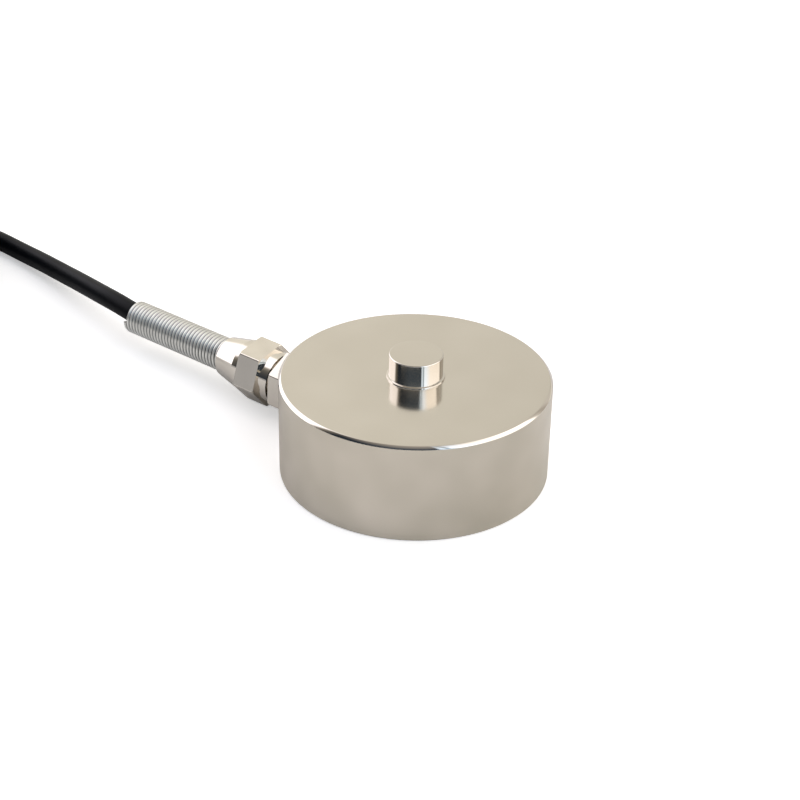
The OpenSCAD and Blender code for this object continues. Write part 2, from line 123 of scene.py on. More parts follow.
# Both hexagons: spare of the turned bar over the corners, its end chamfer, and the long edges
BAR_SPARE, END_CHAMFER, CHAMFER_ANGLE = 0.3, 0.55, 30
HEX_EDGE, HEX_HALF_SIDE = 0.13, 30

# Strain relief spring
SPRING_R, WIRE_R = 2.65, 0.3
SPRING_X, SPRING_PITCH, SPRING_TURNS = 33.95, 0.656, 33
SPRING_POCKET_R, SPRING_PLAY = 2.7, 0.05

# Cable: diameter, and the stretch that isn't coiled
CABLE_D = 3.2
CABLE_R = CABLE_D / 2
STRAIGHT_RUN = [(x, 0, GLAND_Z) for x in (11.7, 20, 28, 36, 44, 50)]
FREE_RUN = [
    (56, -0.2, 5.2), (61, -1.05, 5.1), (67, -2.4, 4.55), (74, -4.3, 3.6), (80, -5.9, 2.75),
    (87, -7.35, 2.1), (93, -8.3, 1.67), (99, -8.85, 1.6), (103, -8.95, 1.6),
]
COIL_JOIN = [(107, -8.95, 1.66), (111.5, -8.93, 1.9)]

# Storage coil: turns beside each other in layers, each turn a pitch from the next
COIL_X, COIL_Y, COIL_Z = 116, 15.05, 0.5
COIL_R = 19
COIL_PITCH = 3.3
COIL_WIDE, COIL_HIGH = 4, 4
COIL_W, COIL_H = COIL_WIDE * COIL_PITCH, COIL_HIGH * COIL_PITCH
COIL_TOP = COIL_Z + COIL_H
LANES = [COIL_R + COIL_PITCH * (k - (COIL_WIDE - 1) / 2) for k in range(COIL_WIDE)]
LAYERS = [COIL_Z + COIL_PITCH * (k + 0.5) for k in range(COIL_HIGH)]
COIL_STEP, COIL_START, LEAST_TURN = 15, -90, 120

# Angles on the coil: where the lowest layer's turns jog to the next lane, how long a jog or climb
# lasts, how much earlier each higher layer jogs, and how much before its jogs a layer climbs
FIRST_JOG, JOG_SPAN, JOG_BACK, CLIMB_BACK = 150, 90, 60, 30

# The cable's end: it climbs onto the coil, drifts inward and ends straight in a sleeve
RISE_FROM, RISE_TO = 300, 345
INWARD_FROM, INWARD_TO = 330, 425
TAIL_TO, TAIL_STEP, TAIL_END_L = 470, 10, 8
TAIL_R = COIL_R - 1.5
SLEEVE_L, SLEEVE_OVER, SLEEVE_T, SLEEVE_CLEAR = 8, 3, 0.35, 0.02
TAIL_Z = COIL_TOP + CABLE_R + SLEEVE_T

# Shrink sleeve's outline: (how far under its full radius, how far along it)
JACKET_END = SLEEVE_L - SLEEVE_OVER
SLEEVE_OUTLINE = [
    (0.2, 0), (0.06, 0.08), (0, 0.3), (0.03, JACKET_END / 2), (0, JACKET_END),
    (0.12, JACKET_END + 0.8), (0.14, SLEEVE_L - 0.3), (0.24, SLEEVE_L),
]

# Ribbon tie round the coil, and the lap where its end is stitched down
TIE_AT, TIE_W, TIE_T, TIE_GAP = 280, 3, 0.4, 0.1
TIE_CORNER, TIE_CORNER_STEPS, TIE_EDGE, TIE_EDGE_ANGLE = 1.5, 8, 0.12, 50
TIE_LAP, TIE_HEAD, LAP_EDGE, LAP_STEPS = 1, 3.6, 0.3, 4

# Leads: insulation, bare strands and the curve that a lead takes from the sleeve to its end
CORE_R, CORE_STEP, END_GAP = 0.4, 0.45, 0.2
STRAND_R, TIP_L, TIP_IN = 0.25, 4, 0.5
STRANDS, STRAND_WIRE_R, STRAND_STEPS, TWISTS = 6, 0.09, 14, 1.6
LEAD_HANDLE, LEAD_STEPS = 14, 9

# Each lead's place among the four, across and up, and where it ends: how far outside the coil's
# middle radius, and how many degrees past the cable's end
LEADS = {
    "red": (-1, 1, -3.6, 124), "black": (-1, -1, -1.2, 119),
    "green": (1, -1, 1.2, 114), "white": (1, 1, 3.6, 109),
}

# Clouds: noise stays mostly between these two values, so a cloud's two tones sit there
CLOUD_LOW, CLOUD_HIGH = 0.2, 0.8

# How far under the outer radius the spring's painted light on its crest and the cover's weld begin and are
# full; below that the spring's gaps have painted shade
PAINTED_CREST_FROM, PAINTED_CREST_FULL = 0.17, 0.02
WELD_FROM, WELD_FULL = 0.45, 0.35

# Relief: how far apart the cover's turned rings lie, and how deep its rings and the weave are
COVER_RINGS, COVER_RELIEF, WEAVE_RELIEF = 0.25, 0.003, 0.06

# Two materials in one solid: how far under the border one gives way to the other, the width of
# their clouds, and how much rougher the rough end is
PART_FROM, PART_TO, PART_CLOUD, PART_ROUGHER = 0.012, 0.008, 0.4, 0.08

# The ribbon's threads lie half a millimetre apart. A wave of scale 1 repeats every pi / 10 metres.
THREAD_SPACE, WAVE_REPEAT = 0.5, math.pi / 10

# Light tent, as the part mirrors it. A tone is linear red, green and blue, a place is a share of
# the way round, and a height is the sine of the angle above the floor.
ROOM_TURN, ROOM_STRENGTH = 91.6, 3.0
PAPER, TABLE, SLIT = (0.385, 0.37, 0.336), (0.18, 0.18, 0.185), (0.015, 0.016, 0.018)
LEFT_BOX, RIGHT_BOX = (0.73, 0.71, 0.75), (0.71, 0.68, 0.66)
COOL_EDGE, COOL_BOX = (0.44, 0.53, 0.65), (0.63, 0.72, 0.86)

# Upper walls: paper, the left lamp, the dark opening, a cool lamp, the right lamp and paper again
ROOM = [
    (0.02, (0.22, 0.212, 0.193)), (0.16, PAPER), (0.19, LEFT_BOX), (0.333, LEFT_BOX),
    (0.354, (0.14, 0.13, 0.116)), (0.37, (0.06, 0.056, 0.05)), (0.395, (0.01, 0.013, 0.018)),
    (0.46, (0.011, 0.015, 0.021)), (0.53, (0.021, 0.029, 0.04)), (0.662, (0.021, 0.029, 0.04)),
    (0.667, COOL_EDGE), (0.678, COOL_EDGE), (0.685, (0.17, 0.22, 0.27)), (0.69, (0.17, 0.22, 0.27)),
    (0.698, COOL_BOX), (0.715, COOL_BOX), (0.77, RIGHT_BOX), (0.905, RIGHT_BOX),
    (0.919, (0.28, 0.266, 0.245)), (0.941, (0.19, 0.175, 0.155)), (0.966, (0.27, 0.255, 0.235)),
]

# Low walls: the left lamp, a dark slit beside it, the table's grey, and paper round the rest
LOW_ROOM = [
    (0.16, PAPER), (0.19, LEFT_BOX), (0.328, LEFT_BOX), (0.332, SLIT), (0.353, SLIT),
    (0.366, TABLE), (0.45, TABLE), (0.47, PAPER),
]

# Heights over which the table gives way to the low walls, those to the upper, and those to the roof
TABLE_EDGE, LOW_EDGE, ROOF_EDGE = (0.0, 0.03), (0.06, 0.1), (0.69, 1.05)
ROOF = (0.195, 0.178, 0.16)

# Bar of pale cloth across the opening: its tone, and its share by height and by place
BAR_TONE = (0.27, 0.26, 0.236)
BAR_HEIGHTS = [(0.318, 0), (0.336, 1), (0.41, 1), (0.44, 0)]
BAR_PLACES = [(0.42, 0), (0.44, 1), (0.64, 1), (0.658, 0)]

# Floor: its width in metres, the share of light that it gives back, and its glow for the camera
FLOOR_SIZE, FLOOR_TONE, FLOOR_GLOW = 8, 0.84, 0.47


def linear(code):
    """Linear colour of an sRGB hex value."""
    parts = [int(code[i : i + 2], 16) / 255 for i in (1, 3, 5)]
    return [c / 12.92 if c <= 0.04045 else ((c + 0.055) / 1.055) ** 2.4 for c in parts] + [1]


def per_mm(size):
    """Texture scale at which one cell of a pattern is that many millimetres wide."""
    return 1 / (size * MM)


def add_node(tree, kind, settings=None, links=None):
    """Adds a node: settings are its properties or its sockets' values, links feed its sockets."""
    node = tree.nodes.new(kind)
    for name, value in (settings or {}).items():
        if name == "stops":
            elements = node.color_ramp.elements
            while len(elements) < len(value):
                elements.new(1)
            for element, (place, colour) in zip(elements, value):
                element.position, element.color = place, colour
        elif isinstance(name, str) and hasattr(node, name):
            setattr(node, name, value)
        else:
            node.inputs[name].default_value = value
    for name, source in (links or {}).items():
        tree.links.new(source, node.inputs[name])
    return node


def grey(level):
    return [level, level, level, 1]


def eased(t):
    t = min(max(t, 0), 1)
    return t * t * (3 - 2 * t)


def between(a, b, t):
    return a + (b - a) * t


# Camera


def make_camera():
    data = bpy.data.cameras.new("photo_camera")
    camera = bpy.data.objects.new("photo_camera", data)
    bpy.context.scene.collection.objects.link(camera)
    data.sensor_width = CAMERA_SENSOR
    data.lens = CAMERA_LENS
    data.clip_start, data.clip_end = CAMERA_NEAR, CAMERA_FAR
    at, aim = Vector(CAMERA_AT) * MM, Vector(CAMERA_AIM) * MM
    look = (aim - at).to_track_quat("-Z", "Y").to_matrix().to_4x4()
    roll = Matrix.Rotation(math.radians(CAMERA_ROLL), 4, "Z")
    camera.matrix_world = Matrix.Translation(at) @ look @ roll
    bpy.context.scene.camera = camera


# Cable


def on_coil(angle, r, z):
    a = math.radians(angle)
    return Vector((COIL_X + r * math.cos(a), COIL_Y + r * math.sin(a), z))


def round_coil(angle):
    a = math.radians(angle)
    return Vector((-math.sin(a), math.cos(a), 0))


def winding():
    """The winding's moves: (angle from, angle to, radius from, radius to, height from, height to)."""
    moves, angle = [], COIL_START
    for layer, z in enumerate(LAYERS):
        lanes = LANES if layer % 2 else LANES[::-1]
        jog_at = FIRST_JOG - layer * JOG_BACK
        stops = [(jog_at, r, z) for r in lanes[1:]]
        if layer + 1 < COIL_HIGH:
            stops.append((jog_at - CLIMB_BACK, lanes[-1], LAYERS[layer + 1]))
        else:
            stops.append((RISE_FROM, lanes[-1], z))
        r = lanes[0]
        for stop, next_r, next_z in stops:
            least = angle + LEAST_TURN
            reach = least + (stop - least) % 360
            moves.append((angle, reach, r, r, z, z))
            angle = reach
            if (next_r, next_z) != (r, z):
                moves.append((angle, angle + JOG_SPAN, r, next_r, z, next_z))
                angle, r = angle + JOG_SPAN, next_r
    return moves


def coil_points():
    """Points of the whole winding, the same step apart all round."""
    points = []
    for start, end, r0, r1, z0, z1 in winding():
        count = round((end - start) / COIL_STEP)
        for t in [k / count for k in range(count)]:
            r, z = between(r0, r1, eased(t)), between(z0, z1, eased(t))
            points.append(on_coil(between(start, end, t), r, z))
    return points


def tail_points():
    """The climb onto the coil, the drift inward and the straight end."""
    points = []
    for angle in range(RISE_FROM, TAIL_TO + 1, TAIL_STEP):
        inward = eased((angle - INWARD_FROM) / (INWARD_TO - INWARD_FROM))
        rise = eased((angle - RISE_FROM) / (RISE_TO - RISE_FROM))
        r, z = between(LANES[-1], TAIL_R, inward), between(LAYERS[-1], TAIL_Z, rise)
        points.append(on_coil(angle, r, z))
    straight = TAIL_END_L * round_coil(TAIL_TO)
    return points + [tail_end() - straight / 2, tail_end()]


def tail_end():
    return on_coil(TAIL_TO, TAIL_R, TAIL_Z) + TAIL_END_L * round_coil(TAIL_TO)


def tube_along(name, points, radius, sides):
    """Round tube on a curve of one open spline. A bevel of resolution n has 2 n + 4 sides."""
    data = bpy.data.curves.new(name, "CURVE")
    data.dimensions = "3D"
    spline = data.splines.new("BEZIER")
    spline.bezier_points.add(len(points) - 1)
    for point, at in zip(spline.bezier_points, points):
        point.co = Vector(at) * MM
        point.handle_left_type = point.handle_right_type = "AUTO"
    data.resolution_u = data.render_resolution_u = CURVE_STEPS
    data.bevel_depth = radius * MM
    data.bevel_resolution = sides // 2 - 2
    data.use_fill_caps = True
    piece = bpy.data.objects.new(name, data)
    bpy.context.scene.collection.objects.link(piece)
    return piece


def make_cable():
    route = STRAIGHT_RUN + FREE_RUN + COIL_JOIN + coil_points() + tail_points()
    piece = tube_along("signal_cable", route, CABLE_R, CABLE_SIDES)
    piece.data.materials.append(cable_jacket())
    return piece


# Shapes


def block(name, size):
    """Box of that size, centred on the origin."""
    begin()
    bpy.ops.mesh.primitive_cube_add(size=1, scale=[edge * MM for edge in size])
    bpy.ops.object.transform_apply()
    bpy.context.object.name = name
    return bpy.context.object


def pick(piece, kind, test):
    """Goes into edit mode with only those edges or polygons selected that pass the test."""
    mesh = piece.data
    for parts in (mesh.vertices, mesh.edges, mesh.polygons):
        parts.foreach_set("select", [False] * len(parts))
    for part in getattr(mesh, kind):
        part.select = test(part)
    only(piece)
    bpy.context.tool_settings.mesh_select_mode = (False, kind == "edges", kind == "polygons")
    mode("EDIT")


def round_upright_edges(piece, width, steps):
    """Rounds the edges that run along Z."""
    points = piece.data.vertices

    def upright(edge):
        low, high = [points[k].co.z for k in edge.vertices]
        return abs(low - high) > MM

    pick(piece, "edges", upright)
    bpy.ops.mesh.bevel(offset=width * MM, segments=steps)
    mode("OBJECT")


def mode(name):
    bpy.ops.object.mode_set(mode=name)


def begin():
    """Deselects every object, because an operator acts on all that is selected."""
    bpy.ops.object.select_all(action="DESELECT")


def only(piece):
    begin()
    piece.select_set(True)
    bpy.context.view_layer.objects.active = piece


def turn_faces_outward():
    """Finishes a closed piece that is in edit mode, and leaves edit mode."""
    bpy.ops.mesh.select_all(action="SELECT")
    bpy.ops.mesh.normals_make_consistent(inside=False)
    mode("OBJECT")


def applied(piece, kind, **settings):
    """Adds a modifier with its settings and applies it."""
    only(piece)
    modifier = piece.modifiers.new("shape", kind)
    for name, value in settings.items():
        setattr(modifier, name, value)
    bpy.ops.object.modifier_apply(modifier=modifier.name)
    return piece


def placed(piece, at, turn=(0, 0, 0)):
    """Turns a piece by degrees, moves it by millimetres and puts both in its mesh."""
    only(piece)
    piece.rotation_euler = [math.radians(angle) for angle in turn]
    piece.location = Vector(at) * MM
    bpy.ops.object.transform_apply()
    return piece


def along_gland(piece):
    """Turns a piece that was made along +Z to run along the gland's axis."""
    return placed(piece, (0, 0, GLAND_Z), (0, 90, 0))


def turned(name, rings, sides):
    """Solid turned about Z: a disc extruded and scaled from ring to ring of (radius, height)."""
    begin()
    (r, z), *rest = rings
    bpy.ops.mesh.primitive_circle_add(
        vertices=sides, radius=r * MM, fill_type="NGON", location=(0, 0, z * MM)
    )
    piece = bpy.context.object
    piece.name = name
    bpy.ops.object.transform_apply()
    bpy.context.tool_settings.mesh_select_mode = (False, False, True)
    mode("EDIT")
    bpy.ops.mesh.select_all(action="SELECT")
    for next_r, next_z in rest:
        bpy.ops.mesh.extrude_region_move(TRANSFORM_OT_translate={"value": (0, 0, (next_z - z) * MM)})
        grow = next_r / r
        bpy.ops.transform.resize(value=(grow, grow, 1), center_override=(0, 0, 0))
        r, z = next_r, next_z
    turn_faces_outward()
    return piece


def corner_radius(across_flats):
    return across_flats / 2 / math.cos(math.radians(HEX_HALF_SIDE))


def bar_edges(across_flats):
    """Radius of the bar that a hexagon is milled from, and the radius and length of its chamfer."""
    bar_r = corner_radius(across_flats) + BAR_SPARE
    return bar_r, bar_r - END_CHAMFER, END_CHAMFER * math.tan(math.radians(CHAMFER_ANGLE))


def hexagon_bar(across_flats, start, end, turn):
    """Hexagon bar along Z between two heights, with its long edges rounded by drawing."""
    begin()
    bpy.ops.mesh.primitive_cylinder_add(
        vertices=6, radius=corner_radius(across_flats) * MM,
        depth=(end - start) * MM, location=(0, 0, (start + end) / 2 * MM),
        rotation=(0, 0, math.radians(turn + HEX_HALF_SIDE)),
    )
    bpy.ops.object.transform_apply()
    piece = bpy.context.object
    round_upright_edges(piece, HEX_EDGE, EDGE_STEPS)
    return piece


def cut(piece, cutter, operation="DIFFERENCE"):
    """Cuts one solid with another, and leaves nothing of the cutter."""
    applied(piece, "BOOLEAN", object=cutter, operation=operation, solver="EXACT")
    bpy.data.objects.remove(cutter)


def bored(piece, radius, start, end):
    """Bore along Z between two heights."""
    cut(piece, turned("bore", [(radius, start), (radius, end)], SMALL_SIDES))


def edges_broken(piece, width=EDGE_BREAK, angle=BREAK_ANGLE):
    """Small round on every edge that turns by more than the angle."""
    return applied(
        piece, "BEVEL", width=width * MM, segments=EDGE_STEPS, limit_method="ANGLE",
        angle_limit=math.radians(angle), use_clamp_overlap=True,
    )


def smoothed(piece, angle=SHARP_ANGLE):
    """Smooth shading up to an angle, with flat faces kept flat beside small rounds."""
    only(piece)
    bpy.ops.object.shade_smooth_by_angle(angle=math.radians(angle))
    return applied(piece, "WEIGHTED_NORMAL", keep_sharp=True)


def arc(centre, radius, start, end):
    """Points of an arc between two angles, as (radius, height)."""
    steps = [math.radians(between(start, end, k / ROOT_STEPS)) for k in range(ROOT_STEPS + 1)]
    return [(centre[0] + radius * math.cos(a), centre[1] + radius * math.sin(a)) for a in steps]


def thread(crest, root, start, end, pitch):
    """Rings of a fine thread between two heights."""
    count = int((end - start) / pitch)
    return [(crest if k % 2 else root, start + (k + 0.5) * pitch / 2) for k in range(2 * count)]


def dressed(piece, material, slot, *nodes):
    """Gives a piece its body and its material, and hides the nodes that it stands for.

    With no material given, a piece keeps the ones that it already has. The slot is not used.
    """
    if material is not None:
        piece.data.materials.clear()
        piece.data.materials.append(material)
    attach(piece, "root")
    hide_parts(*nodes)
    return piece


# Body


def cut_tapped_holes(piece):
    """Blind tapped holes in the base, spaced evenly with a gap towards the gland."""
    rings = [(HOLE_THREAD_R + HOLE_FLARE, -HOLE_FLARE), (HOLE_THREAD_R, HOLE_MOUTH)]
    rings += thread(HOLE_THREAD_R, HOLE_R, HOLE_THREAD_Z, HOLE_DEPTH, HOLE_PITCH)
    rings += [(HOLE_R, HOLE_DEPTH), (HOLE_TIP_R, HOLE_DEPTH + HOLE_R / 2)]
    for k in range(HOLE_COUNT):
        angle = math.radians(360 * (k + 0.5) / HOLE_COUNT)
        at = [HOLE_PCR * math.cos(angle), HOLE_PCR * math.sin(angle), 0]
        cut(piece, placed(turned("tapped_hole", rings, TAP_SIDES), at))


def finish_of(face):
    """The finish of one of the body's faces, by where its middle lies."""
    x, y, z = face.center / MM
    r = math.hypot(x, y)
    if r < STEP_R + EDGE_BREAK and STEP_TOP - STEP_BELOW < z < BUTTON_TOP - BUTTON_SHORT:
        return POLISHED
    if r > BODY_R - TOP_CHAMFER - CHAMFER_IN and BODY_TOP - TOP_CHAMFER < z < BODY_TOP - CHAMFER_SHORT:
        return POLISHED
    return FACED if face.normal.z > LEVEL and z > BODY_TOP - FACE_BELOW else GROUND


def make_body():
    """Ring wall, bending roof, column and button in one turning, then its bores."""
    rings = [(COLUMN_R, COLUMN_FOOT)]
    rings += arc((COLUMN_R + ROOT_R, ROOF_Z - ROOT_R), ROOT_R, 180, 90)
    rings += arc((UPPER_R - ROOT_R, ROOF_Z - ROOT_R), ROOT_R, 90, 0)
    rings += [
        (UPPER_R, LEDGE_Z), (CAVITY_R, LEDGE_Z), (CAVITY_R, COVER_Z), (COVER_R, COVER_Z),
        (COVER_R, 0), (BODY_R - BASE_CHAMFER, 0), (BODY_R, BASE_CHAMFER),
        (BODY_R, BODY_TOP - TOP_CHAMFER), (BODY_R - TOP_CHAMFER, BODY_TOP),
        (STEP_R, BODY_TOP), (STEP_R, STEP_TOP), (BUTTON_R, STEP_TOP),
        (BUTTON_R, BUTTON_TOP - BUTTON_EDGE), (BUTTON_R - BUTTON_EDGE, BUTTON_TOP),
    ]
    piece = edges_broken(turned("load_cell_body", rings, BODY_SIDES))
    cut_tapped_holes(piece)
    for radius, start in ((GLAND_BORE_R, CAVITY_R - OVERRUN), (SEAT_R, SEAT_X)):
        bore = turned("gland_bore", [(radius, start), (radius, BODY_R + OVERRUN)], GLAND_SIDES)
        cut(piece, along_gland(bore))
    smoothed(piece)
    for material in (satin_nickel_wall(), turned_nickel_face(), polished_nickel()):
        piece.data.materials.append(material)
    for face in piece.data.polygons:
        face.material_index = finish_of(face)
    return dressed(piece, None, "body_metal", "elastic_body")


# Gland


def make_gland_body():
    """Threaded shank, seal groove, round shoulder, hexagon and threaded neck."""
    bar_r, edge_r, edge_l = bar_edges(GLAND_AF)
    rings = [(SHANK_R - LEAD_IN, SHANK_X)]
    rings += thread(SHANK_R, SHANK_R - THREAD_DEPTH, SHANK_X, GROOVE_X, GLAND_PITCH)
    rings += [(SHANK_R, GROOVE_X), (GROOVE_R, GROOVE_X), (GROOVE_R, SEAT_X)]
    rings += [(SHOULDER_R, SEAT_X), (SHOULDER_R, HEX_X), (bar_r, HEX_X)]
    rings += [(bar_r, HEX_END_X - edge_l), (edge_r, HEX_END_X), (SHANK_R, HEX_END_X)]
    rings += thread(SHANK_R, SHANK_R - THREAD_DEPTH, HEX_END_X + THREAD_GAP, NECK_END_X, GLAND_PITCH)
    rings += [(SHANK_R - LEAD_IN, NECK_END_X)]
    piece = turned("cable_gland_body", rings, GLAND_SIDES)
    start, end = SHANK_X - OVERRUN, NECK_END_X + OVERRUN
    cut(piece, hexagon_bar(GLAND_AF, start, end, GLAND_TURN), "INTERSECT")
    bored(piece, CABLE_BORE_R, start, end)
    bored(piece, SEAL_POCKET_R, SEAL_POCKET_X, end)
    smoothed(edges_broken(piece, EDGE_BREAK, TURNED_ANGLE), TURNED_ANGLE)
    return dressed(along_gland(piece), plated_brass(), "plated_metal", "gland_body")


def make_cap_nut():
    """Round collar, hexagon, round shoulder and tapered nose."""
    bar_r, edge_r, edge_l = bar_edges(CAP_AF)
    rings = [
        (COLLAR_R, COLLAR_X), (COLLAR_R, CAP_HEX_X), (edge_r, CAP_HEX_X),
        (bar_r, CAP_HEX_X + edge_l), (bar_r, SHOULDER_X - edge_l), (edge_r, SHOULDER_X),
        (NOSE_ROOT_R, SHOULDER_X), (NOSE_ROOT_R, NOSE_X), (NOSE_TIP_R, CAP_END_X),
    ]
    piece = turned("gland_cap_nut", rings, GLAND_SIDES)
    start, end = COLLAR_X - OVERRUN, CAP_END_X + OVERRUN
    cut(piece, hexagon_bar(CAP_AF, start, end, CAP_TURN), "INTERSECT")
    thread_x, thread_r = COLLAR_X + CAP_THREAD_IN, GLAND_BORE_R - CAP_THREAD_DEPTH
    inner = [(GLAND_BORE_R, start), (GLAND_BORE_R, thread_x)]
    inner += thread(GLAND_BORE_R, thread_r, thread_x, CAP_FLOOR_X, GLAND_PITCH)
    inner += [(GLAND_BORE_R, CAP_FLOOR_X)]
    cut(piece, turned("inner", inner, SMALL_SIDES))
    bored(piece, CABLE_BORE_R, COLLAR_X, end)
    bored(piece, SPRING_POCKET_R, SPRING_X - SPRING_PLAY, end)
    smoothed(edges_broken(piece, EDGE_BREAK, TURNED_ANGLE), TURNED_ANGLE)
    return dressed(along_gland(piece), plated_brass(), "plated_metal", "cap_nut")


def make_spring():
    """Close-wound helix: the wire's round section, screwed along the gland's axis."""
    begin()
    bpy.ops.mesh.primitive_circle_add(
        vertices=WIRE_SIDES, radius=WIRE_R * MM, fill_type="NOTHING",
        location=((SPRING_X + WIRE_R) * MM, (SPRING_R - WIRE_R) * MM, 0),
    )
    piece = bpy.context.object
    piece.name = "strain_relief_spring"
    bpy.ops.object.transform_apply()
    applied(
        piece, "SCREW", axis="X", angle=math.tau, steps=SPRING_STEPS, render_steps=SPRING_STEPS,
        iterations=SPRING_TURNS, screw_offset=SPRING_PITCH * MM, use_smooth_shade=True,
    )
    only(piece)
    mode("EDIT")
    bpy.ops.mesh.select_all(action="SELECT")
    bpy.ops.mesh.fill_holes(sides=0)
    turn_faces_outward()
    placed(piece, (0, 0, GLAND_Z))
    smoothed(piece, WIRE_ANGLE)
    return dressed(piece, plated_wire(), "spring_wire", "strain_spring")


# Coil's tie, the cable's end and its leads


def make_tie():
    """Woven ribbon round the coil's section, its end lapped and stitched outside."""
    wide, high = COIL_W + 2 * TIE_GAP, COIL_H + 2 * TIE_GAP
    piece = block("coil_ribbon", (wide, high, TIE_W))
    round_upright_edges(piece, TIE_CORNER, TIE_CORNER_STEPS)
    pick(piece, "polygons", lambda face: abs(face.normal.z) > LEVEL)
    bpy.ops.mesh.delete(type="FACE")
    mode("OBJECT")
    applied(piece, "SOLIDIFY", thickness=TIE_T * MM, offset=1)
    edges_broken(piece, TIE_EDGE, TIE_EDGE_ANGLE)
    lap = block("lap", (TIE_LAP, TIE_HEAD, TIE_W))
    applied(lap, "BEVEL", width=LAP_EDGE * MM, segments=LAP_STEPS)
    placed(lap, (wide / 2 + TIE_T + TIE_LAP / 2, 0, 0))
    cut(piece, lap, "UNION")
    placed(piece, (COIL_R, 0, 0), (90, 0, 0))
    placed(piece, (COIL_X, COIL_Y, COIL_Z + COIL_H / 2), (0, 0, TIE_AT))
    return dressed(smoothed(piece), woven_ribbon(), "tie_ribbon", "coil_tie")


def make_sleeve():
    """Shrink sleeve: tight on the jacket, drawn in a little where it passes the jacket's end."""
    rings = [(CABLE_R + SLEEVE_T - under, x) for under, x in SLEEVE_OUTLINE]
    piece = turned("shrink_sleeve", rings, SMALL_SIDES)
    bored(piece, CABLE_R + SLEEVE_CLEAR, -OVERRUN, SLEEVE_L + OVERRUN)
    at = tail_end() + (SLEEVE_OVER - SLEEVE_L) * round_coil(TAIL_TO)
    placed(smoothed(piece), at, (-90, 0, TAIL_TO))
    return dressed(piece, shrunk_tubing(), "sleeve_black", "end_sleeve")


def lead_points(across, up, fan, turn):
    """The insulation's points, the lead's end and the direction that its tip takes."""
    a = math.radians(TAIL_TO)
    start = tail_end() + END_GAP * round_coil(TAIL_TO)
    start += CORE_STEP * Vector((across * math.cos(a), across * math.sin(a), up))
    stop = on_coil(TAIL_TO + turn, COIL_R + fan, COIL_TOP + CORE_R)
    along = round_coil(TAIL_TO + turn)
    pull, push = start + LEAD_HANDLE * round_coil(TAIL_TO), stop - LEAD_HANDLE * along
    points = []
    for k in range(LEAD_STEPS + 1):
        t = k / LEAD_STEPS
        one, two = between(start, pull, t), between(pull, push, t)
        three = between(push, stop, t)
        points.append(between(between(one, two, t), between(two, three, t), t))
    return points, stop, along


def make_lead(colour, across, up, fan, turn):
    """Insulated core with a tip of twisted tinned strands."""
    points, stop, along = lead_points(across, up, fan, turn)
    piece = tube_along("wire_" + colour, points, CORE_R, LEAD_SIDES)
    side = along.cross(Vector((0, 0, 1)))
    for strand in range(STRANDS):
        spline = piece.data.splines.new("BEZIER")
        spline.bezier_points.add(STRAND_STEPS)
        spline.material_index = 1
        for k, point in enumerate(spline.bezier_points):
            t = k / STRAND_STEPS
            a = math.tau * (strand / STRANDS + TWISTS * t)
            out = (STRAND_R - STRAND_WIRE_R) * (math.cos(a) * side + math.sin(a) * Vector((0, 0, 1)))
            point.co = (stop + between(-TIP_IN, TIP_L, t) * along + out) * MM
            point.handle_left_type = point.handle_right_type = "AUTO"
            point.radius = STRAND_WIRE_R / CORE_R
    piece.data.materials.append(core_insulation(colour))
    piece.data.materials.append(tinned_copper())
    return dressed(piece, None, "core_" + colour, "lead_" + colour)


def make_cover():
    """Cover disc, laser-welded into its seat by a low rippled bead."""
    r = COVER_R - COVER_CLEAR
    rings = [(r - inward, COVER_INSET - proud) for inward, proud in WELD_BEAD] + [(r, COVER_Z)]
    piece = turned("welded_cover", rings, BODY_SIDES)
    return dressed(smoothed(piece), welded_steel(), "body_metal", "bottom_cover")


# Materials


def new_material(name):
    """Empty material, its nodes, and the object's own coordinates for its patterns."""
    material = bpy.data.materials.new(name)
    material.use_nodes = True
    tree = material.node_tree
    tree.nodes.clear()
    return material, tree, add_node(tree, "ShaderNodeTexCoord").outputs["Object"]


def shaded(tree, settings, links):
    """Ends a material with its surface shader and output."""
    shader = add_node(tree, "ShaderNodeBsdfPrincipled", settings, links)
    add_node(tree, "ShaderNodeOutputMaterial", links={"Surface": shader.outputs["BSDF"]})


def clouded(tree, place, size_mm, light, dark, smooth, rough):
    """Tone and gloss that drift together in soft clouds of that size."""
    cloud = add_node(
        tree, "ShaderNodeTexNoise", {"Scale": per_mm(size_mm), "Detail": 1}, {"Vector": place}
    ).outputs["Fac"]
    stops = [(CLOUD_LOW, linear(dark)), (CLOUD_HIGH, linear(light))]
    tone = add_node(tree, "ShaderNodeValToRGB", {"stops": stops}, {"Fac": cloud}).outputs["Color"]
    gloss = add_node(
        tree, "ShaderNodeMapRange",
        {"From Min": CLOUD_LOW, "From Max": CLOUD_HIGH, "To Min": rough, "To Max": smooth},
        {"Value": cloud},
    ).outputs["Result"]
    return tone, gloss


def tool_lines(tree, run, line_mm, depth_mm):
    """Fine lines that a cutting or grinding tool leaves across whatever run measures.

    They are drawn coarser than real ones, which are too fine to show.
    """
    lines = add_node(
        tree, "ShaderNodeTexNoise", {"noise_dimensions": "1D", "Scale": per_mm(line_mm), "Detail": 2},
        {"W": run},
    ).outputs["Fac"]
    return add_node(
        tree, "ShaderNodeBump", {"Strength": 1.0, "Distance": depth_mm * MM}, {"Height": lines}
    ).outputs["Normal"]


def skin(tree, place, size_mm, depth_mm):
    """Fine unevenness that a die, a mould or a mill leaves."""
    grain = add_node(
        tree, "ShaderNodeTexNoise", {"Scale": per_mm(size_mm), "Detail": 3}, {"Vector": place}
    ).outputs["Fac"]
    return add_node(
        tree, "ShaderNodeBump", {"Strength": 1.0, "Distance": depth_mm * MM}, {"Height": grain}
    ).outputs["Normal"]


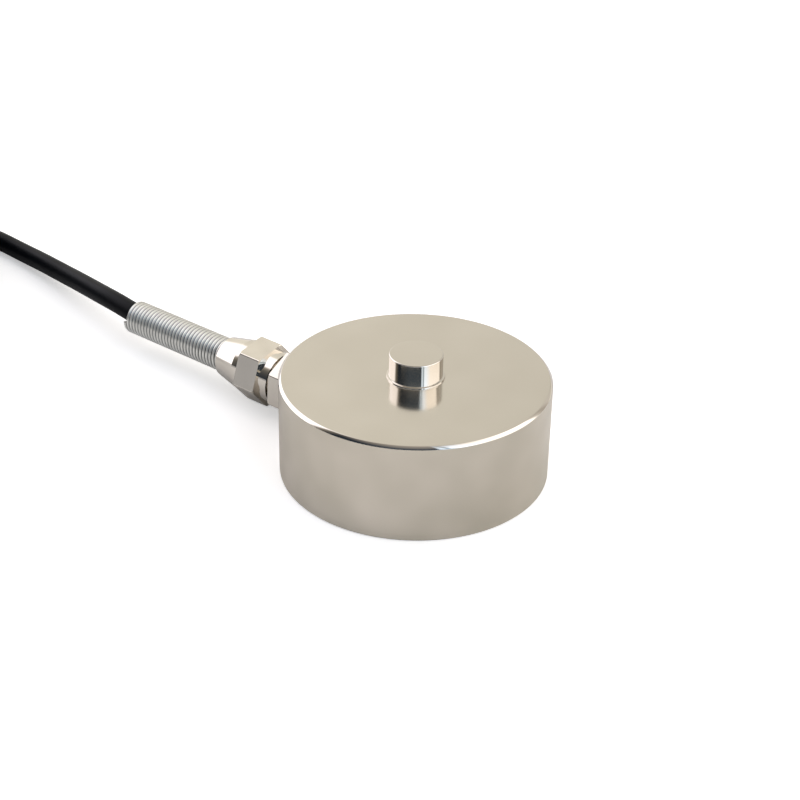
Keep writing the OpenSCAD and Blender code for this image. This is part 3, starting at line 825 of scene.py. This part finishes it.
def from_load_axis(tree, place):
    """Distance from the body's own axis."""
    flat = add_node(tree, "ShaderNodeVectorMath", {"operation": "MULTIPLY", 1: (1, 1, 0)}, {0: place})
    return add_node(
        tree, "ShaderNodeVectorMath", {"operation": "LENGTH"}, {0: flat.outputs["Vector"]}
    ).outputs["Value"]


def from_gland_axis(tree, place):
    """Distance from the gland's axis."""
    moved = add_node(
        tree, "ShaderNodeVectorMath", {"operation": "SUBTRACT", 1: (0, 0, GLAND_Z * MM)}, {0: place}
    ).outputs["Vector"]
    flat = add_node(tree, "ShaderNodeVectorMath", {"operation": "MULTIPLY", 1: (0, 1, 1)}, {0: moved})
    return add_node(
        tree, "ShaderNodeVectorMath", {"operation": "LENGTH"}, {0: flat.outputs["Vector"]}
    ).outputs["Value"]


def satin_nickel_wall():
    # Ground and nickel-plated steel: cloudy warm grey satin over faint rings of the wheel
    material, tree, place = new_material("ground_nickel_plated_steel")
    tone, gloss = clouded(tree, place, size_mm=7, light="#D8D0C2", dark="#C9C2B3", smooth=0.29, rough=0.36)
    height = add_node(tree, "ShaderNodeSeparateXYZ", links={"Vector": place}).outputs["Z"]
    rings = tool_lines(tree, height, line_mm=0.25, depth_mm=0.0006)
    shaded(tree, {"Metallic": 1}, {"Base Color": tone, "Roughness": gloss, "Normal": rings})
    return material


def turned_nickel_face():
    # Faced and nickel-plated steel: a smoother satin that mirrors the button softly
    material, tree, place = new_material("faced_nickel_plated_steel")
    tone, gloss = clouded(tree, place, size_mm=9, light="#D1CBC1", dark="#CAC4B9", smooth=0.12, rough=0.17)
    rings = tool_lines(tree, from_load_axis(tree, place), line_mm=0.3, depth_mm=0.0003)
    shaded(tree, {"Metallic": 1}, {"Base Color": tone, "Roughness": gloss, "Normal": rings})
    return material


def polished_nickel():
    # Polished nickel plate: near mirror, so the room's darks and lights stand in it sharply
    material, tree, place = new_material("polished_nickel_plated_steel")
    tone, gloss = clouded(tree, place, size_mm=5, light="#D6D0C7", dark="#D0CAC0", smooth=0.03, rough=0.07)
    height = add_node(tree, "ShaderNodeSeparateXYZ", links={"Vector": place}).outputs["Z"]
    rings = tool_lines(tree, height, line_mm=0.4, depth_mm=0.0001)
    shaded(tree, {"Metallic": 1}, {"Base Color": tone, "Roughness": gloss, "Normal": rings})
    return material


def plated_brass():
    # Turned brass bar under bright nickel: mirror flats with faint lathe lines across them
    material, tree, place = new_material("bright_nickel_plated_brass")
    tone, gloss = clouded(tree, place, size_mm=3, light="#D8D2C8", dark="#CBC5BB", smooth=0.03, rough=0.07)
    along = add_node(tree, "ShaderNodeSeparateXYZ", links={"Vector": place}).outputs["X"]
    lines = tool_lines(tree, along, line_mm=0.2, depth_mm=0.0002)
    shaded(tree, {"Metallic": 1}, {"Base Color": tone, "Roughness": gloss, "Normal": lines})
    return material


def plated_wire():
    # Drawn spring wire under zinc: silvery, with painted shade that darkens the gaps between turns and a
    # painted lighter crest
    material, tree, place = new_material("zinc_plated_spring_wire")
    # Painted shade and light: darker deeper in the gaps between turns, lighter toward the outer crest
    crest = add_node(
        tree, "ShaderNodeMapRange",
        {"From Min": (SPRING_R - PAINTED_CREST_FROM) * MM, "From Max": (SPRING_R - PAINTED_CREST_FULL) * MM},
        {"Value": from_gland_axis(tree, place)},
    ).outputs["Result"]
    wire_tone_with_painted_shade = add_node(
        tree, "ShaderNodeValToRGB",
        {"stops": [(0.0, linear("#8E8F8E")), (0.6, linear("#D6D6D2")), (1.0, linear("#EAEAE5"))]},
        {"Fac": crest},
    ).outputs["Color"]
    drift, gloss = clouded(
        tree, place, size_mm=1.2, light="#FFFFFF", dark="#E9E9E9", smooth=0.29, rough=0.34
    )
    tone = add_node(
        tree, "ShaderNodeMix", {"data_type": "RGBA", "blend_type": "MULTIPLY", "Factor": 1.0},
        {"A": wire_tone_with_painted_shade, "B": drift},
    ).outputs["Result"]
    shaded(tree, {"Metallic": 1}, {"Base Color": tone, "Roughness": gloss})
    return material


def welded_steel():
    # Nickel-plated cover: turned rings inside, and the weld's overlapping ripples round its rim
    material, tree, place = new_material("laser_welded_plated_steel")
    tone, gloss = clouded(tree, place, size_mm=6, light="#CDC7BD", dark="#C0BBB0", smooth=0.29, rough=0.36)
    out = from_load_axis(tree, place)
    parts = add_node(tree, "ShaderNodeSeparateXYZ", links={"Vector": place}).outputs
    angle = add_node(
        tree, "ShaderNodeMath", {"operation": "ARCTAN2"}, {0: parts["Y"], 1: parts["X"]}
    ).outputs["Value"]
    turns = add_node(
        tree, "ShaderNodeMath", {"operation": "MULTIPLY", 1: WELD_SPOTS}, {0: angle}
    ).outputs["Value"]
    ripple = add_node(tree, "ShaderNodeMath", {"operation": "SINE"}, {0: turns}).outputs["Value"]
    weld = add_node(
        tree, "ShaderNodeMapRange",
        {"From Min": (COVER_R - WELD_FROM) * MM, "From Max": (COVER_R - WELD_FULL) * MM}, {"Value": out},
    ).outputs["Result"]
    rings = add_node(
        tree, "ShaderNodeTexNoise", {"noise_dimensions": "1D", "Scale": per_mm(COVER_RINGS), "Detail": 2},
        {"W": out},
    ).outputs["Fac"]
    height = add_node(
        tree, "ShaderNodeMix", {"data_type": "FLOAT"}, {"Factor": weld, "A": rings, "B": ripple}
    ).outputs["Result"]
    relief = add_node(
        tree, "ShaderNodeBump", {"Strength": 1.0, "Distance": COVER_RELIEF * MM}, {"Height": height}
    ).outputs["Normal"]
    shaded(tree, {"Metallic": 1}, {"Base Color": tone, "Roughness": gloss, "Normal": relief})
    return material


def plastic(name, light, dark, cloud_mm, skin_mm, skin_depth, smooth, rough, level=0.5):
    """Plastic or rubber whose tone and gloss drift a little, under a fine skin."""
    material, tree, place = new_material(name)
    tone, gloss = clouded(tree, place, cloud_mm, light, dark, smooth, rough)
    shaded(
        tree, {"Specular IOR Level": level},
        {"Base Color": tone, "Roughness": gloss, "Normal": skin(tree, place, skin_mm, skin_depth)},
    )
    return material


def cable_jacket():
    # Extruded black PVC: deep black, a dull sheen along it and a fine skin from the die
    return plastic(
        "extruded_black_pvc", "#070A10", "#04060A", cloud_mm=8, skin_mm=0.5, skin_depth=0.004,
        smooth=0.4, rough=0.5, level=0.07,
    )


def shrunk_tubing():
    # Heat-shrunk polyolefin: black and slightly glossier, finely wrinkled by shrinking
    return plastic(
        "shrunk_black_polyolefin", "#15171A", "#0E1012", cloud_mm=3, skin_mm=0.8, skin_depth=0.02,
        smooth=0.38, rough=0.5,
    )


def woven_ribbon():
    # Woven black nylon: crossing threads half a millimetre apart under a soft sheen
    material, tree, place = new_material("woven_black_nylon")
    across, along = [
        add_node(
            tree, "ShaderNodeTexWave",
            {
                "bands_direction": direction, "Distortion": 0.6,
                "Scale": WAVE_REPEAT / (THREAD_SPACE * MM),
            },
            {"Vector": place},
        ).outputs["Fac"]
        for direction in ("X", "Z")
    ]
    weave = add_node(
        tree, "ShaderNodeMath", {"operation": "MULTIPLY"}, {0: across, 1: along}
    ).outputs["Value"]
    tone = add_node(
        tree, "ShaderNodeValToRGB", {"stops": [(0.0, linear("#0B0B0C")), (1.0, linear("#2A2A2D"))]},
        {"Fac": weave},
    ).outputs["Color"]
    relief = add_node(
        tree, "ShaderNodeBump", {"Strength": 1.0, "Distance": WEAVE_RELIEF * MM}, {"Height": weave}
    ).outputs["Normal"]
    shaded(tree, {"Roughness": 0.75, "Sheen Weight": 0.3}, {"Base Color": tone, "Normal": relief})
    return material


CORE_COLOURS = {
    "red": ("#B3241C", "#9E1D17"), "black": ("#1B1C1F", "#131416"),
    "green": ("#2C7E46", "#246B3A"), "white": ("#E6E4DD", "#D8D5CC"),
}


def core_insulation(colour):
    # Thin PVC over stranded wire: clear colour, smooth, with a faint lay of the strands in it
    light, dark = CORE_COLOURS[colour]
    return plastic(
        "core_pvc_" + colour, light, dark, cloud_mm=2, skin_mm=0.4, skin_depth=0.006,
        smooth=0.3, rough=0.4,
    )


def tinned_copper():
    # Dipped tin over twisted copper: soft silver with duller patches
    material, tree, place = new_material("tinned_copper_strands")
    tone, gloss = clouded(tree, place, size_mm=0.6, light="#D5D4D0", dark="#A8A6A1", smooth=0.2, rough=0.4)
    shaded(tree, {"Metallic": 1}, {"Base Color": tone, "Roughness": gloss})
    return material


def moulded_rubber():
    # Moulded black rubber: dull and even, with a bloom that lightens it in patches
    return plastic(
        "moulded_nitrile_rubber", "#1E1F20", "#141516", cloud_mm=2, skin_mm=0.3, skin_depth=0.01,
        smooth=0.6, rough=0.75,
    )


def enamelled_wire():
    # Enamelled copper: warm brown-orange metal under a clear coat
    material, tree, place = new_material("enamelled_copper_wire")
    tone, gloss = clouded(tree, place, size_mm=1, light="#B8703C", dark="#9A5528", smooth=0.25, rough=0.35)
    shaded(tree, {"Metallic": 1, "Coat Weight": 0.6}, {"Base Color": tone, "Roughness": gloss})
    return material


def turned_brass():
    # Turned brass: warm yellow metal with faint rings round its bore
    material, tree, place = new_material("turned_brass")
    tone, gloss = clouded(tree, place, size_mm=2, light="#D9BC7C", dark="#C2A263", smooth=0.25, rough=0.38)
    rings = tool_lines(tree, from_gland_axis(tree, place), line_mm=0.15, depth_mm=0.001)
    shaded(tree, {"Metallic": 1}, {"Base Color": tone, "Roughness": gloss, "Normal": rings})
    return material


def parted(name, height, above, below, smooth):
    """Plastic above a height and metal below it, each with its own grain of light and dark."""
    material, tree, place = new_material(name)
    level = add_node(tree, "ShaderNodeSeparateXYZ", links={"Vector": place}).outputs["Z"]
    start, full = (height - PART_FROM) * MM, (height - PART_TO) * MM
    metal = add_node(
        tree, "ShaderNodeMapRange", {"From Min": start, "From Max": full, "To Min": 1, "To Max": 0},
        {"Value": level},
    ).outputs["Result"]
    upper, gloss = clouded(tree, place, PART_CLOUD, *above, smooth, smooth + PART_ROUGHER)
    lower, _ = clouded(tree, place, PART_CLOUD, *below, smooth, smooth + PART_ROUGHER)
    tone = add_node(
        tree, "ShaderNodeMix", {"data_type": "RGBA"}, {"Factor": metal, "A": upper, "B": lower}
    ).outputs["Result"]
    shaded(tree, {}, {"Base Color": tone, "Metallic": metal, "Roughness": gloss})
    return material


def gauge_foil():
    # Foil gauge: amber polyimide film, with the etched constantan grid proud of it
    film, grid = ("#C98A3C", "#B97A30"), ("#C4BCA6", "#ADA58F")
    return parted("polyimide_and_foil", ROOF_Z - GAUGE_T, film, grid, smooth=0.3)


def masked_board():
    # Printed board: green solder mask with the glass weave faint in it, and tinned pads below
    mask, pads = ("#1F5C34", "#184B2A"), ("#C9C6BE", "#B0ADA5")
    return parted("masked_glass_board", BOARD_Z, mask, pads, smooth=0.35)


def chip_ceramic():
    # Chip resistor: black glazed ceramic, softly glossy
    return plastic(
        "glazed_chip_ceramic", "#26262A", "#1A1A1D", cloud_mm=0.6, skin_mm=0.2, skin_depth=0.004,
        smooth=0.3, rough=0.42,
    )


def finish_small_nodes():
    """Materials of the solids that keep their own shape."""
    numbers = range(1, GAUGE_COUNT + 1)
    for material, names in (
        (gauge_foil(), ["gauge_%d" % k for k in numbers]),
        (enamelled_wire(), ["bridge_wire_%d" % k for k in numbers]),
        (masked_board(), ["terminal_board"]),
        (chip_ceramic(), ["balance_resistor_1", "balance_resistor_2"]),
        (moulded_rubber(), ["gland_o_ring", "gland_seal"]),
        (turned_brass(), ["thrust_washer"]),
    ):
        for name in names:
            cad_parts[name].data.materials[0] = material
    for colour in LEADS:
        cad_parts["core_" + colour].data.materials[0] = core_insulation(colour)


# Studio


def make_floor():
    """White paper. A glow that only the camera sees keeps it white and its shadows faint."""
    begin()
    bpy.ops.mesh.primitive_plane_add(size=FLOOR_SIZE)
    piece = bpy.context.object
    piece.name = "studio_floor"
    material, tree, _ = new_material("matt_white_paper")
    paper = add_node(tree, "ShaderNodeBsdfDiffuse", {"Color": grey(FLOOR_TONE)}).outputs["BSDF"]
    eye = add_node(tree, "ShaderNodeLightPath").outputs["Is Camera Ray"]
    glow = add_node(
        tree, "ShaderNodeMath", {"operation": "MULTIPLY", 1: FLOOR_GLOW}, {0: eye}
    ).outputs["Value"]
    lamp = add_node(tree, "ShaderNodeEmission", {"Color": grey(1)}, {"Strength": glow})
    both = add_node(tree, "ShaderNodeAddShader", links={0: paper, 1: lamp.outputs["Emission"]})
    add_node(tree, "ShaderNodeOutputMaterial", links={"Surface": both.outputs["Shader"]})
    piece.data.materials.append(material)


def make_room():
    """White tent as a world that only lights: a table below, low and upper walls with a dark opening
    on the camera's side, a cloth bar across that and a roof. The camera itself sees plain white.
    """
    world = bpy.data.worlds.new("light_tent")
    bpy.context.scene.world = world
    world.use_nodes = True
    tree = world.node_tree
    tree.nodes.clear()
    look = add_node(tree, "ShaderNodeTexCoord").outputs["Generated"]
    turned_look = add_node(
        tree, "ShaderNodeMapping", {"Rotation": (0, 0, -math.radians(ROOM_TURN))}, {"Vector": look}
    ).outputs["Vector"]
    round_room = add_node(
        tree, "ShaderNodeTexGradient", {"gradient_type": "RADIAL"}, {"Vector": turned_look}
    ).outputs["Fac"]
    lower, upper = [
        add_node(
            tree, "ShaderNodeValToRGB", {"stops": [(place, (*tone, 1)) for place, tone in ring]},
            {"Fac": round_room},
        ).outputs["Color"]
        for ring in (LOW_ROOM, ROOM)
    ]
    height = add_node(tree, "ShaderNodeSeparateXYZ", links={"Vector": look}).outputs["Z"]
    off_table, above_paper, in_roof = [
        add_node(
            tree, "ShaderNodeMapRange",
            {"interpolation_type": "SMOOTHSTEP", "From Min": edge[0], "From Max": edge[1]},
            {"Value": height},
        ).outputs["Result"]
        for edge in (TABLE_EDGE, LOW_EDGE, ROOF_EDGE)
    ]
    walls = add_node(
        tree, "ShaderNodeMix", {"data_type": "RGBA"}, {"Factor": above_paper, "A": lower, "B": upper}
    ).outputs["Result"]
    bar_high, bar_long = [
        add_node(
            tree, "ShaderNodeValToRGB", {"stops": [(at, grey(share)) for at, share in stops]},
            {"Fac": along},
        ).outputs["Color"]
        for stops, along in ((BAR_HEIGHTS, height), (BAR_PLACES, round_room))
    ]
    on_bar = add_node(
        tree, "ShaderNodeMath", {"operation": "MULTIPLY"}, {0: bar_high, 1: bar_long}
    ).outputs["Value"]
    barred = add_node(
        tree, "ShaderNodeMix", {"data_type": "RGBA", "B": (*BAR_TONE, 1)}, {"Factor": on_bar, "A": walls}
    ).outputs["Result"]
    with_table = add_node(
        tree, "ShaderNodeMix", {"data_type": "RGBA", "A": (*TABLE, 1)}, {"Factor": off_table, "B": barred}
    ).outputs["Result"]
    tent = add_node(
        tree, "ShaderNodeMix", {"data_type": "RGBA", "B": (*ROOF, 1)}, {"Factor": in_roof, "A": with_table}
    ).outputs["Result"]
    lit = add_node(
        tree, "ShaderNodeBackground", {"Strength": ROOM_STRENGTH}, {"Color": tent}
    ).outputs["Background"]
    seen = add_node(
        tree, "ShaderNodeBackground", {"Color": grey(1), "Strength": 1}
    ).outputs["Background"]
    eye = add_node(tree, "ShaderNodeLightPath").outputs["Is Camera Ray"]
    mixed = add_node(tree, "ShaderNodeMixShader", links={0: eye, 1: lit, 2: seen})
    add_node(tree, "ShaderNodeOutputWorld", links={"Surface": mixed.outputs["Shader"]})


make_camera()
signal_cable = make_cable()
dressed(signal_cable, None, "cable_jacket", "cable", "cable_coil", "cable_tail")
cord_pieces = [make_tie(), make_sleeve()] + [make_lead(colour, *lead) for colour, lead in LEADS.items()]
make_body()
make_gland_body()
make_cap_nut()
make_spring()
make_cover()
finish_small_nodes()
make_floor()
make_room()
bpy.context.scene.view_settings.view_transform = "Standard"
